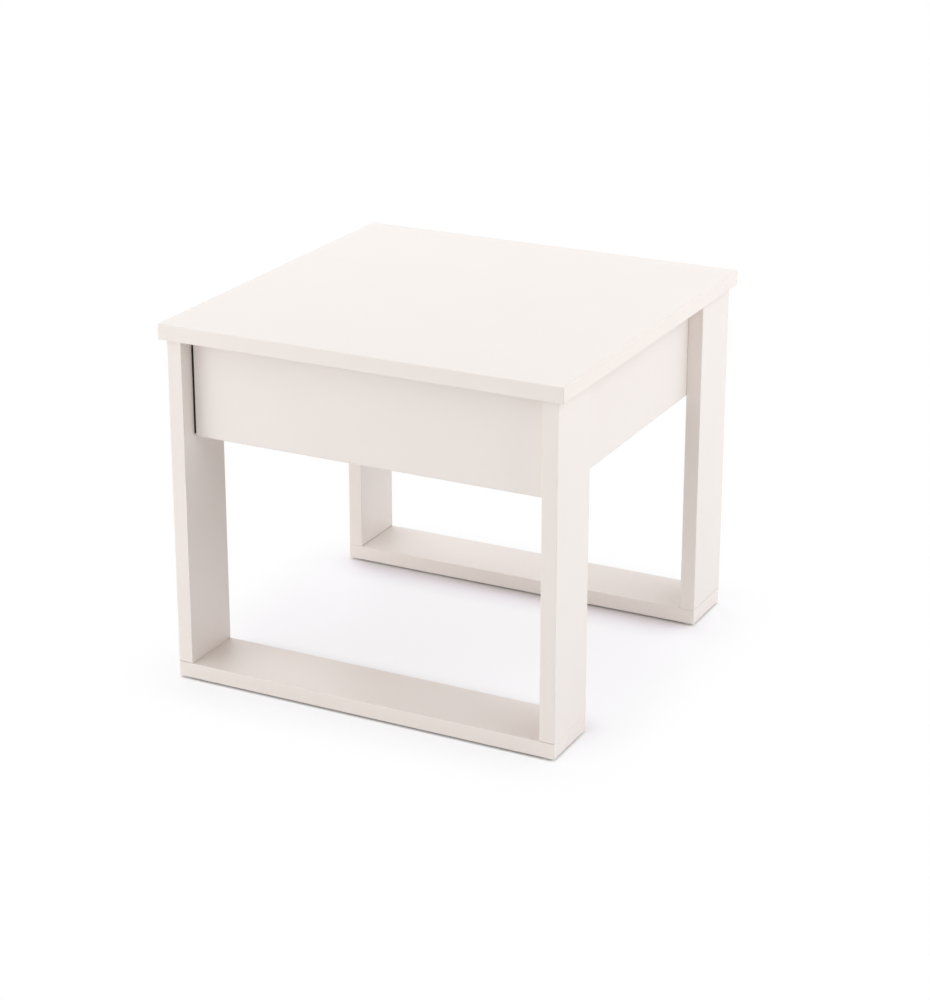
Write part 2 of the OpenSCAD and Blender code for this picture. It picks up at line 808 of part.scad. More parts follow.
balls(-1, outer_half);  // balls_outer_left
balls(1, outer_half);  // balls_outer_right
balls(-1, middle_half);  // balls_inner_left
balls(1, middle_half);  // balls_inner_right
slide_case_screws();
slide_drawer_screws();
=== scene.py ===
"""Looks of a square coffee table with one drawer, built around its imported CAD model.

Everything is in metres, in the frame of the CAD: +Z is up, the floor is at zero
and the drawer opens towards -Y.
"""

import logging
import math
from dataclasses import dataclass
from enum import Enum

import bmesh
import bpy
from mathutils import Color, Matrix, Vector


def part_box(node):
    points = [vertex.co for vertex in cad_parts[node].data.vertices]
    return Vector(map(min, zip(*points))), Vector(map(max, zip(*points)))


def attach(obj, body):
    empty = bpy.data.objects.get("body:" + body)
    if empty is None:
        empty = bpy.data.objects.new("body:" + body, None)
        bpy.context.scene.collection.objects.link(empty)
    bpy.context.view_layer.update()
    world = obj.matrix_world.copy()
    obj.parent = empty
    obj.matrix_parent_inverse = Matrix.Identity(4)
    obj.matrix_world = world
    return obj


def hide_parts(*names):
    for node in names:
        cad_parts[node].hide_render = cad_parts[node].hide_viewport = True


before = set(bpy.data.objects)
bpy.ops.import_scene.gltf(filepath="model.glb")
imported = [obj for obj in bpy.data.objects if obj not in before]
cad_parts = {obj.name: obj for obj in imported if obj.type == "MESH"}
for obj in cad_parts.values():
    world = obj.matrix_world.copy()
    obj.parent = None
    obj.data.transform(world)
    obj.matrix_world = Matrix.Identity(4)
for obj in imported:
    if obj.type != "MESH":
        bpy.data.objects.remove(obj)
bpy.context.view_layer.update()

LOG = logging.getLogger("coffee_table")

Colour = tuple[int, int, int]
Span = tuple[float, float]
Point = tuple[float, float, float]
Mesh = bmesh.types.BMesh
Socket = bpy.types.NodeSocket
Tree = bpy.types.NodeTree

MM = 0.001
AXES = range(3)
WHITE = (1.0, 1.0, 1.0, 1.0)
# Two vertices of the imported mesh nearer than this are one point
WELD = 0.002 * MM
# A point this near to a board's outer plane lies on it
ON_PLANE = 0.01 * MM
# Faces turned further than this from every axis belong to a rounding
AXIS_ALIGNED = 0.9999
# Lines between triangles that turn less than this are cleared
FLAT = math.radians(0.5)
# Faces that turn more than this meet in a corner that is rounded
CORNER = math.radians(60)
# Middle half of a noise's values, where most of a surface lies
NOISE_MIDDLE = (0.25, 0.75)
# Values of a noise between which a soft pattern and a crisp one change tone
SOFT = (0.3, 0.7)
CRISP = (0.35, 0.65)
# Sockets of a Mix node that carry colours
MIX_COLOURS = (6, 7)
MIX_RESULT = 2


class Body(Enum):
    """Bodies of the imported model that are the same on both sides."""

    TABLE_FRAME = "table_frame"
    DRAWER = "drawer"


class Hand(Enum):
    """The two sides of the table, with the sign of their X."""

    LEFT = -1
    RIGHT = 1

    @property
    def word(self) -> str:
        """The side's name as the nodes and bodies spell it."""
        return self.name.lower()


class End(Enum):
    """The two ends of the table, as the nodes spell them."""

    FRONT = "front"
    REAR = "rear"


class Side(Enum):
    """The six sides of a board: the number of an axis, and whether it is that axis's high end."""

    LEFT = (0, False)
    RIGHT = (0, True)
    FRONT = (1, False)
    REAR = (1, True)
    BOTTOM = (2, False)
    TOP = (2, True)

    @property
    def axis(self) -> int:
        """Number of the axis that the side looks along."""
        return self.value[0]

    @property
    def is_high(self) -> bool:
        """Whether the side is at its axis's high end."""
        return self.value[1]


class Member(Enum):
    """The members of a slide, from the case to the drawer."""

    OUTER = "outer"
    MIDDLE = "middle"
    INNER = "inner"


class Slot(Enum):
    """Material slots of the record."""

    LAMINATE = "laminate"
    HARDBOARD = "hardboard"
    ZINC_STEEL = "zinc_steel"
    SLIDE_STEEL = "slide_steel"
    GLIDE_PLASTIC = "glide_plastic"
    BUMPER_RUBBER = "bumper_rubber"


class Finish(Enum):
    """Finishes that faces of the pieces are given."""

    FACE = "laminate_face"
    BAND = "edge_band"
    GLUE = "glue_line"
    # Joint line that is partly the joint and partly painted shade in its crease
    JOINT = "joint_line"
    CORE = "chipboard_core"
    LACQUER = "hardboard_lacquer"
    FIBRE = "hardboard_fibre"
    BEECH = "grooved_beech"
    ZINC = "zinc_plate"
    ROLLED = "rolled_steel"
    BALL = "ball_steel"
    GLIDE = "glide_plastic"
    BUMPER = "bumper_rubber"
    # Painted shade: dark strips that darken the slits beside the drawer front
    FOAM = "foam_strip"


class Blend(Enum):
    """Ways in which two colours of a pattern meet."""

    MIX = "MIX"
    MULTIPLY = "MULTIPLY"


def linear(colour: Colour) -> tuple[float, float, float, float]:
    """Linear colour and full alpha, as sockets take them, of a display colour from 0 to 255."""
    shares = [channel / 255 for channel in colour]
    return *Color(shares).from_srgb_to_scene_linear(), 1.0


def map_range(tree: Tree, value: Socket, given: Span, wanted: Span, smooth: bool = False) -> Socket:
    """Bring one range of numbers to another.

    Args:
        tree: Node tree that the step belongs to.
        value: Socket of the numbers.
        given: The two values that become the ends of the wanted range.
        wanted: Results at these values, and beyond them.
        smooth: Whether the result eases in and out between its ends.

    Returns:
        The result's socket.
    """
    node = tree.nodes.new("ShaderNodeMapRange")
    node.interpolation_type = "SMOOTHSTEP" if smooth else "LINEAR"
    for name, number in zip(("From Min", "From Max", "To Min", "To Max"), given + wanted):
        node.inputs[name].default_value = number
    tree.links.new(value, node.inputs["Value"])
    return node.outputs["Result"]


@dataclass(frozen=True)
class Noise:
    """A soft noise: its cells per metre, its finer octaves, and a stretch that draws it out where small."""

    scale: float
    detail: float = 2.0
    stretch: Point = (1.0, 1.0, 1.0)


class Graph:
    """Wires the nodes of one material around its Principled shader."""

    def __init__(self, name: str) -> None:
        """Start a material whose patterns read Object coordinates.

        Args:
            name: Name of the material.
        """
        self.material = bpy.data.materials.new(name)
        self.material.use_nodes = True
        self.tree = self.material.node_tree
        self.shader = self.tree.nodes["Principled BSDF"]
        self.coords = self.tree.nodes.new("ShaderNodeTexCoord").outputs["Object"]

    def constant(self, **values: float) -> None:
        """Set sockets of the shader that are the same all over the surface.

        Args:
            **values: Socket names with underscores for spaces, and their values.
        """
        for name, value in values.items():
            self.shader.inputs[name.replace("_", " ")].default_value = value

    def drive(self, name: str, source: Socket) -> None:
        """Link a pattern to one socket of the shader."""
        self.tree.links.new(source, self.shader.inputs[name])

    def texture(self, kind: str, scale: float, stretch: Point) -> bpy.types.Node:
        """Add a pattern on the piece's coordinates.

        Args:
            kind: Blender's name of the texture node.
            scale: Cells per metre.
            stretch: Factor on each axis, where a small one draws the pattern out.

        Returns:
            The texture's node.
        """
        mapping = self.tree.nodes.new("ShaderNodeMapping")
        mapping.inputs["Scale"].default_value = stretch
        self.tree.links.new(self.coords, mapping.inputs["Vector"])
        node = self.tree.nodes.new(kind)
        node.inputs["Scale"].default_value = scale
        self.tree.links.new(mapping.outputs["Vector"], node.inputs["Vector"])
        return node

    def noise(self, noise: Noise) -> Socket:
        """Add a noise.

        Args:
            noise: Its scale, detail and stretch.

        Returns:
            The socket of its values, from 0 to 1.
        """
        node = self.texture("ShaderNodeTexNoise", noise.scale, noise.stretch)
        node.inputs["Detail"].default_value = noise.detail
        return node.outputs["Fac"]

    def cells(self, scale: float, stretch: Point) -> tuple[Socket, Socket]:
        """Cells of random colour: the distance to a cell's middle, and the cell's colour."""
        node = self.texture("ShaderNodeTexVoronoi", scale, stretch)
        return node.outputs["Distance"], node.outputs["Color"]

    def ramp(self, value: Socket, stops: dict[float, Colour]) -> Socket:
        """Colour that changes with a value.

        Args:
            value: The pattern, from 0 to 1.
            stops: Two or more display colours, each at its place from 0 to 1.

        Returns:
            The colour socket.
        """
        node = self.tree.nodes.new("ShaderNodeValToRGB")
        elements = node.color_ramp.elements
        places = sorted(stops)
        for place in places[1:-1]:
            elements.new(place)
        for element, place in zip(elements, places):
            element.position = place
            element.color = linear(stops[place])
        self.tree.links.new(value, node.inputs["Fac"])
        return node.outputs["Color"]

    def spread(self, value: Socket, span: Span) -> Socket:
        """Bring the middle half of a noise to a range of plain numbers."""
        return map_range(self.tree, value, NOISE_MIDDLE, span)

    def mix(self, share: float, first: Socket, second: Socket, blend: Blend = Blend.MIX) -> Socket:
        """Blend two colours.

        Args:
            share: How much of the second one shows, from 0 to 1.
            first: Colour socket below.
            second: Colour socket above.
            blend: Way in which they meet.

        Returns:
            The blended colour socket.
        """
        node = self.tree.nodes.new("ShaderNodeMix")
        node.data_type = "RGBA"
        node.blend_type = blend.value
        node.inputs["Factor"].default_value = share
        for source, place in zip((first, second), MIX_COLOURS):
            self.tree.links.new(source, node.inputs[place])
        return node.outputs[MIX_RESULT]

    def relief(self, layers: list[tuple[Socket, float]]) -> None:
        """Roughen the surface with several heights, coarse or fine.

        Args:
            layers: Each pattern with its depth in metres.
        """
        normal = None
        for height, depth in layers:
            node = self.tree.nodes.new("ShaderNodeBump")
            node.inputs["Strength"].default_value = 1.0
            node.inputs["Distance"].default_value = depth
            self.tree.links.new(height, node.inputs["Height"])
            if normal is not None:
                self.tree.links.new(normal, node.inputs["Normal"])
            normal = node.outputs["Normal"]
        self.drive("Normal", normal)


class Recipe:
    """How one finish is made."""

    def build(self, name: str) -> bpy.types.Material:
        """Make the finish's material.

        Args:
            name: Name of the material.

        Returns:
            The material.
        """
        graph = Graph(name)
        self.wire(graph)
        return graph.material

    def wire(self, graph: Graph) -> None:
        """Drive the shader's sockets, which each finish does in its own way."""
        raise NotImplementedError


@dataclass(frozen=True)
class TwoTone(Recipe):
    """A finish that wanders between two close tones and two roughnesses."""

    light: Colour
    shade: Colour
    gloss: Span

    def tones(self, graph: Graph, value: Socket, ends: Span = SOFT) -> Socket:
        """Colour that goes from the shade to the light tone between two values of a pattern."""
        return graph.ramp(value, dict(zip(ends, (self.shade, self.light))))


@dataclass(frozen=True)
class Laminate(TwoTone):
    """Satin melamine laminate, or the plastic band that matches it on the edges."""

    pore_depth: float
    swell_depth: float
    clouds: Noise = Noise(7, 3)
    flecks: Noise = Noise(900, 2)
    fleck_ends: Span = (0.35, 0.6)
    fleck_share: float = 0.35
    sheen: Noise = Noise(60, 4)
    swell: Noise = Noise(22, 1)
    coarse_pores: Noise = Noise(240, 2)
    coarse_times_fine: float = 2.0
    fine_pores: Noise = Noise(1500, 2)
    refraction: float = 1.5

    def wire(self, graph: Graph) -> None:
        """Give it cloudy tones, a satin that varies, fine pores and a slow swell of the board.

        Args:
            graph: Graph of the material.
        """
        clouds = self.tones(graph, graph.noise(self.clouds))
        flecks = self.tones(graph, graph.noise(self.flecks), self.fleck_ends)
        graph.drive("Base Color", graph.mix(self.fleck_share, clouds, flecks))
        graph.drive("Roughness", graph.spread(graph.noise(self.sheen), self.gloss))
        graph.relief([
            (graph.noise(self.swell), self.swell_depth),
            (graph.noise(self.coarse_pores), self.pore_depth * self.coarse_times_fine),
            (graph.noise(self.fine_pores), self.pore_depth),
        ])
        graph.constant(IOR=self.refraction)


@dataclass(frozen=True)
class ThinLine(TwoTone):
    """Hairline between a board's face and its edge band, or where two boards meet; the darker line where
    boards meet is partly the joint and partly painted shade in its crease.
    """

    wander: Noise = Noise(180, 3)
    sheen: Noise = Noise(400)
    grain: Noise = Noise(1200)
    grain_depth: float = 0.02 * MM

    def wire(self, graph: Graph) -> None:
        """Give it a dull tone that wanders along the line.

        Args:
            graph: Graph of the material.
        """
        graph.drive("Base Color", self.tones(graph, graph.noise(self.wander)))
        graph.drive("Roughness", graph.spread(graph.noise(self.sheen), self.gloss))
        graph.relief([(graph.noise(self.grain), self.grain_depth)])


@dataclass(frozen=True)
class Chipboard(Recipe):
    """Raw chipboard where a hole, a groove or an unbanded edge shows the core."""

    chips: tuple[Colour, Colour, Colour]
    resin: Colour
    gloss: Span
    chip_scale: float = 420.0
    chip_stretch: Point = (1.0, 1.0, 2.2)
    chip_places: Point = (0.1, 0.5, 0.9)
    chip_depth: float = 0.25 * MM
    gap_ends: Span = (0.25, 0.75)
    gap_share: float = 0.55
    sheen: Noise = Noise(500, 3)
    dust: Noise = Noise(2200, 3)
    dust_depth: float = 0.08 * MM

    def wire(self, graph: Graph) -> None:
        """Give it flat chips of several browns with dark gaps between them.

        Args:
            graph: Graph of the material.
        """
        distance, tint = graph.cells(self.chip_scale, self.chip_stretch)
        chips = graph.ramp(tint, dict(zip(self.chip_places, self.chips)))
        gaps = graph.ramp(distance, dict(zip(self.gap_ends, (self.chips[-1], self.resin))))
        graph.drive("Base Color", graph.mix(self.gap_share, chips, gaps, Blend.MULTIPLY))
        graph.drive("Roughness", graph.spread(graph.noise(self.sheen), self.gloss))
        graph.relief([(distance, self.chip_depth), (graph.noise(self.dust), self.dust_depth)])


@dataclass(frozen=True)
class Hardboard(TwoTone):
    """Thin hardboard, either its lacquered face or its raw brown one."""

    fibre_depth: float
    fibres: Noise = Noise(700, 5, (1.0, 0.35, 1.0))
    crossing: Noise = Noise(700, 5, (0.35, 1.0, 1.0))
    crossing_share: float = 0.5
    sheen: Noise = Noise(90, 3)

    def wire(self, graph: Graph) -> None:
        """Give it felted fibres under a thin or missing lacquer.

        Args:
            graph: Graph of the material.
        """
        layers = [graph.noise(self.fibres), graph.noise(self.crossing)]
        tones = [self.tones(graph, layer, CRISP) for layer in layers]
        graph.drive("Base Color", graph.mix(self.crossing_share, *tones))
        graph.drive("Roughness", graph.spread(graph.noise(self.sheen), self.gloss))
        graph.relief([(layer, self.fibre_depth) for layer in layers])


@dataclass(frozen=True)
class Beech(TwoTone):
    """Turned beech of the dowels."""

    grain: Noise = Noise(900, 4, (1.0, 1.0, 0.06))
    grain_depth: float = 0.05 * MM
    sheen: Noise = Noise(300, 3)

    def wire(self, graph: Graph) -> None:
        """Give it straight grain with short dark rays.

        Args:
            graph: Graph of the material.
        """
        grain = graph.noise(self.grain)
        graph.drive("Base Color", self.tones(graph, grain, CRISP))
        graph.drive("Roughness", graph.spread(graph.noise(self.sheen), self.gloss))
        graph.relief([(grain, self.grain_depth)])


@dataclass(frozen=True)
class PlatedSteel(TwoTone):
    """Plated or polished steel, with rolling marks where it is sheet."""

    mark_depth: float
    marks: Noise = Noise(1300, 3)
    clouds: Noise = Noise(160, 4)

    def wire(self, graph: Graph) -> None:
        """Make it metal whose tone and gloss change in small spangles or along the rolling.

        Args:
            graph: Graph of the material.
        """
        marks = graph.noise(self.marks)
        graph.drive("Base Color", self.tones(graph, graph.noise(self.clouds)))
        graph.drive("Roughness", graph.spread(marks, self.gloss))
        graph.relief([(marks, self.mark_depth)])
        graph.constant(Metallic=1.0)


@dataclass(frozen=True)
class Moulded(TwoTone):
    """Moulded plastic or soft rubber."""

    see_through: float = 0.0
    clouds: Noise = Noise(300, 3)
    sheen: Noise = Noise(800, 3)
    grain: Noise = Noise(1800, 2)
    grain_depth: float = 0.015 * MM
    refraction: float = 1.48

    def wire(self, graph: Graph) -> None:
        """Give it an even tone with the fine grain of a mould.

        Args:
            graph: Graph of the material.
        """
        graph.drive("Base Color", self.tones(graph, graph.noise(self.clouds)))
        graph.drive("Roughness", graph.spread(graph.noise(self.sheen), self.gloss))
        graph.relief([(graph.noise(self.grain), self.grain_depth)])
        graph.constant(Transmission_Weight=self.see_through, IOR=self.refraction)


class Palette:
    """All finishes of the table, each made once."""

    RECIPES = {
        Finish.FACE: Laminate(
            (241, 233, 228), (239, 231, 226), (0.30, 0.37), pore_depth=0.004 * MM, swell_depth=0.05 * MM,
        ),
        Finish.BAND: Laminate(
            (242, 233, 227), (240, 231, 225), (0.29, 0.35), pore_depth=0.002 * MM, swell_depth=0.01 * MM,
        ),
        Finish.GLUE: ThinLine((206, 196, 186), (176, 164, 152), (0.6, 0.8)),
        # Joint line where a leg meets its rail: partly the joint, partly painted shade in the crease
        Finish.JOINT: ThinLine((156, 146, 136), (130, 121, 112), (0.6, 0.8)),
        Finish.CORE: Chipboard(
            ((128, 98, 66), (176, 142, 100), (208, 178, 134)), resin=(92, 66, 42), gloss=(0.75, 0.95),
        ),
        Finish.LACQUER: Hardboard((238, 231, 224), (234, 226, 219), (0.42, 0.5), fibre_depth=0.01 * MM),
        Finish.FIBRE: Hardboard((148, 106, 68), (112, 76, 46), (0.68, 0.82), fibre_depth=0.05 * MM),
        Finish.BEECH: Beech((216, 178, 132), (186, 144, 98), (0.5, 0.68)),
        Finish.ZINC: PlatedSteel((206, 208, 212), (186, 188, 192), (0.28, 0.4), mark_depth=0.006 * MM),
        Finish.ROLLED: PlatedSteel(
            (202, 203, 206), (184, 185, 188), (0.28, 0.42), mark_depth=0.004 * MM,
            marks=Noise(1300, 3, (1.0, 0.03, 1.0)),
        ),
        Finish.BALL: PlatedSteel((222, 222, 224), (214, 214, 217), (0.06, 0.1), mark_depth=0.0005 * MM),
        Finish.GLIDE: Moulded((232, 229, 224), (226, 222, 216), (0.42, 0.5)),
        Finish.BUMPER: Moulded((232, 233, 234), (224, 225, 227), (0.3, 0.38), see_through=0.6),
        # Painted shade: the dark strips that darken the slits beside the drawer front
        Finish.FOAM: Moulded((68, 57, 47), (48, 40, 32), (0.86, 0.96)),
    }

    def __init__(self) -> None:
        """Make every finish's material."""
        self.materials = {finish: recipe.build(finish.value) for finish, recipe in self.RECIPES.items()}

    def __getitem__(self, finish: Finish) -> bpy.types.Material:
        """The material of a finish."""
        return self.materials[finish]

    def dress_node(self, node: str, finish: Finish) -> None:
        """Give a CAD node that stays its finish.

        Args:
            node: Name of the CAD node.
            finish: Finish of all its faces.
        """
        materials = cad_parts[node].data.materials
        materials.clear()
        materials.append(self[finish])
        LOG.info("dressed %s as %s", node, finish.value)


def merged_copy(node: str) -> Mesh:
    """Copy a CAD node's mesh, join its loose triangles and clear the lines between flat ones.

    Args:
        node: Name of the CAD node.

    Returns:
        A new mesh in the frame of the CAD.
    """
    bm = bmesh.new()
    bm.from_mesh(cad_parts[node].data)
    bmesh.ops.remove_doubles(bm, verts=bm.verts[:], dist=WELD)
    bmesh.ops.dissolve_limit(bm, angle_limit=FLAT, verts=bm.verts[:], edges=bm.edges[:])
    return bm


def islands(node: str) -> list[tuple[Vector, Vector]]:
    """Find the separate solids of a CAD node.

    Args:
        node: Name of a node that holds several solids.

    Returns:
        The lowest and highest corner of each solid.
    """
    bm = merged_copy(node)
    waiting = set(bm.verts)
    found = []
    while waiting:
        reached = {waiting.pop()}
        frontier = list(reached)
        while frontier:
            vert = frontier.pop()
            for edge in vert.link_edges:
                other = edge.other_vert(vert)
                if other not in reached:
                    reached.add(other)
                    frontier.append(other)
        waiting -= reached
        found.append(tuple(
            Vector(choice(vert.co[axis] for vert in reached) for axis in AXES)
            for choice in (min, max)
        ))
    bm.free()
    return sorted(found, key=lambda box: tuple(box[0]))


def box_mesh(low: Vector, high: Vector) -> Mesh:
    """Make a block between two corners, as the start of a board.

    Args:
        low: Its lowest corner.
        high: Its highest corner.

    Returns:
        The block's mesh.
    """
    bm = bmesh.new()
    place = Matrix.Translation((low + high) / 2) @ Matrix.Diagonal((*(high - low), 1))
    bmesh.ops.create_cube(bm, size=1, matrix=place)
    return bm


def take_in(bm: Mesh, part: Mesh) -> None:
    """Add a shape to a mesh.

    Args:
        bm: Mesh that takes the shape in.
        part: The shape, which is used up.
    """
    carrier = bpy.data.meshes.new("carrier")
    part.to_mesh(carrier)
    part.free()
    bm.from_mesh(carrier)
    bpy.data.meshes.remove(carrier)


def arc(x: float, z: float, radius: float, start: float, end: float, steps: int = 6) -> list[Span]:
    """Points on an arc of a lathe profile.

    Args:
        x: Distance of the arc's centre from the lathe axis.
        z: Height of the arc's centre.
        radius: Radius of the arc.
        start: First angle in degrees, from straight outwards.
        end: Last angle in degrees.
        steps: Number of chords.

    Returns:
        Points after the first one, up to the last.
    """
    angles = [math.radians(start + (end - start) * step / steps) for step in range(1, steps + 1)]
    return [(x + radius * math.cos(angle), z + radius * math.sin(angle)) for angle in angles]


def lathe(bm: Mesh, centre: Span, base: float, profile: list[Span], steps: int = 48) -> None:
    """Spin a profile of radius and height into a closed turned shape.

    Args:
        bm: Mesh that the shape is added to.
        centre: X and Y of the lathe axis.
        base: Height of the profile's zero.
        profile: Radius and height of each point, from the axis and back to it.
        steps: Number of steps in the full turn.
    """
    before = set(bm.verts)
    verts = [bm.verts.new((centre[0] + radius, centre[1], base + height)) for radius, height in profile]
    edges = [bm.edges.new(pair) for pair in zip(verts, verts[1:])]
    bmesh.ops.spin(
        bm, geom=verts + edges, cent=(*centre, base), axis=(0, 0, 1), angle=math.tau, steps=steps,
        use_merge=True,
    )
    made = [vert for vert in bm.verts if vert not in before]
    bmesh.ops.remove_doubles(bm, verts=made, dist=WELD)
    faces = {face for vert in made if vert.is_valid for face in vert.link_faces}
    bmesh.ops.recalc_face_normals(bm, faces=list(faces))


@dataclass(frozen=True)
class Rounding:
    """How far an edge is rounded, and in how many flats."""

    size: float
    flats: int = 2

    def ease(self, bm: Mesh, edges: list[bmesh.types.BMEdge]) -> None:
        """Round some edges of a mesh.

        Args:
            bm: The mesh.
            edges: Its edges that are rounded.
        """
        bmesh.ops.bevel(
            bm, geom=edges, offset=self.size, offset_type="OFFSET", segments=self.flats, profile=0.5,
            affect="EDGES", material=-1,
        )


@dataclass
class SubAssembly:
    """Part of the table that dresses the pieces it makes."""

    palette: Palette

    def finish(
        self, bm: Mesh, name: str, slot: Slot, finishes: tuple[Finish, ...], nodes: tuple[str, ...] = (),
        body: str = Body.TABLE_FRAME.value,
    ) -> bpy.types.Object:
        """Turn a mesh into a piece that rides on a body and stands for CAD nodes.

        Args:
            bm: The shaped mesh, which is used up.
            name: Name of the piece.
            slot: Material slot of the record; not used.
            finishes: Finishes in the order of the faces' material numbers.
            nodes: CAD nodes that the piece stands for.
            body: Name of the body that the piece rides on.

        Returns:
            The piece's object, at the origin.
        """
        for face in bm.faces:
            face.smooth = max(abs(part) for part in face.normal) < AXIS_ALIGNED
        mesh = bpy.data.meshes.new(name)
        bm.to_mesh(mesh)
        bm.free()
        for finish in finishes:
            mesh.materials.append(self.palette[finish])
        piece = bpy.data.objects.new(name, mesh)
        bpy.context.scene.collection.objects.link(piece)
        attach(piece, body)
        if nodes:
            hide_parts(*nodes)
        return piece


@dataclass
class Board(SubAssembly):
    """One board with banded, slightly rounded edges.

    The line of a joint, partly the joint and partly painted shade in its crease, shows on the board's narrow
    sides, or along its two broad faces instead.
    """

    node: str
    body: Body = Body.TABLE_FRAME
    holes_show: bool = False
    radius: float = 0.8 * MM
    flats: int = 4
    band: float = 1.2 * MM
    glue: float = 0.12 * MM
    raw: tuple[Side, ...] = ()
    seams: tuple[Side, ...] = ()
    seams_on_faces: bool = False

    FINISHES = (Finish.FACE, Finish.BAND, Finish.GLUE, Finish.CORE, Finish.JOINT)

    def __post_init__(self) -> None:
        """Take the board's place and its sides from its CAD node."""
        self.low, self.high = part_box(self.node)
        size = self.high - self.low
        thick = min(AXES, key=lambda axis: size[axis])
        self.broad = [side for side in Side if side.axis == thick]
        self.banded = [side for side in Side if side.axis != thick and side not in self.raw]

    def build(self) -> bpy.types.Object:
        """Shape the board in the place of its CAD node and dress it.

        Returns:
            The finished board.
        """
        bm = merged_copy(self.node) if self.holes_show else box_mesh(self.low, self.high)
        self.round_edges(bm)
        self.score_bands(bm)
        for face in bm.faces:
            face.material_index = self.FINISHES.index(self.finish_of(face))
        return self.finish(
            bm, f"{self.node}_board", Slot.LAMINATE, self.FINISHES, (self.node,), self.body.value,
        )

    def depth_in(self, place: Vector, side: Side) -> float:
        """How far a point lies inside one side of the board."""
        axis = side.axis
        return self.high[axis] - place[axis] if side.is_high else place[axis] - self.low[axis]

    def nearest(self, place: Vector, sides: list[Side] | tuple[Side, ...]) -> float:
        """How far a point lies inside the nearest of some sides, endless where there are none."""
        return min((self.depth_in(place, side) for side in sides), default=math.inf)

    def planes_of(self, vert: bmesh.types.BMVert) -> set[Side]:
        """Sides of the board whose outer plane a vertex lies on."""
        return {side for side in Side if abs(self.depth_in(vert.co, side)) < ON_PLANE}

    def round_edges(self, bm: Mesh) -> None:
        """Round the board's twelve outer edges, also where a groove breaks them.

        Args:
            bm: The board's mesh.
        """
        edges = []
        for edge in bm.edges:
            first, second = edge.verts
            if len(self.planes_of(first) & self.planes_of(second)) > 1:
                edges.append(edge)
        Rounding(self.radius, self.flats).ease(bm, edges)

    def score_bands(self, bm: Mesh) -> None:
        """Cut the two faces along the inner line of each edge band and of its glue.

        Args:
            bm: The board's mesh.
        """
        for side in self.banded:
            axis = side.axis
            normal = Vector((0, 0, 0))
            normal[axis] = 1
            for depth in (self.band, self.band + self.glue):
                place = self.high[axis] - depth if side.is_high else self.low[axis] + depth
                bmesh.ops.bisect_plane(
                    bm, geom=bm.verts[:] + bm.edges[:] + bm.faces[:], dist=ON_PLANE, plane_co=normal * place,
                    plane_no=normal,
                )

    def finish_of(self, face: bmesh.types.BMFace) -> Finish:
        """Choose a face's finish from where it lies on the board.

        Args:
            face: A face of the shaped board.

        Returns:
            Laminate on the faces, band on the edges, lines at glue, joint lines partly painted shade, and
            chipboard in cuts.
        """
        place = face.calc_center_median()
        band_depth = self.nearest(place, self.banded)
        on_face = self.nearest(place, self.broad) < self.radius
        seam_shows = on_face if self.seams_on_faces else band_depth < self.radius
        if self.nearest(place, self.raw) < ON_PLANE:
            return Finish.CORE
        # Painted shade in the joint's crease, together with the joint line itself
        if seam_shows and self.nearest(place, self.seams) < self.radius:
            return Finish.JOINT
        if band_depth < ON_PLANE or (band_depth < self.band and on_face):
            return Finish.BAND
        if not on_face:
            return Finish.BAND if band_depth < self.radius else Finish.CORE
        return Finish.GLUE if band_depth < self.band + self.glue else Finish.FACE


@dataclass
class LegFrames(SubAssembly):
    """The two U-shaped frames that the table stands on."""

    # The frame whose joint lines, partly painted shade, show along the legs' broad faces
    broad_face_joints: End = End.REAR

    def build(self) -> list[bpy.types.Object]:
        """Build both frames' legs, base rails and glides.

        Returns:
            The finished pieces.
        """
        legs = [
            Board(
                self.palette, f"leg_{end.value}_{hand.word}", raw=(Side.BOTTOM, Side.TOP),
                seams=(Side.BOTTOM,), seams_on_faces=end is self.broad_face_joints,
            )
            for end in End
            for hand in Hand
        ]
        rails = [Board(self.palette, f"base_rail_{end.value}", holes_show=True) for end in End]
        return [board.build() for board in legs + rails] + [Glides(self.palette).build()]


@dataclass
class Glides(SubAssembly):
    """Nail-on plastic glides under the base rails."""

    node: str = "glides"
    rim: float = 0.9 * MM
    nail_radius: float = 1.0 * MM
    nail_point: float = 2.0 * MM
    disc: float = 3.0 * MM

    def build(self) -> bpy.types.Object:
        """Turn every glide with a rounded rim and its nail, in the place of the CAD's.

        Returns:
            All glides as one piece.
        """
        bm = bmesh.new()
        for low, high in islands(self.node):
            middle = (low + high) / 2
            radius = (high.x - low.x) / 2
            lathe(bm, (middle.x, middle.y), low.z, [
                (0, 0),
                (radius - self.rim, 0),
                *arc(radius - self.rim, self.rim, self.rim, -90, 0),
                (radius, self.disc),
                (self.nail_radius, self.disc),
                (self.nail_radius, high.z - low.z - self.nail_point),
                (0, high.z - low.z),
            ])
        return self.finish(bm, "glide_discs", Slot.GLIDE_PLASTIC, (Finish.GLIDE,), (self.node,))


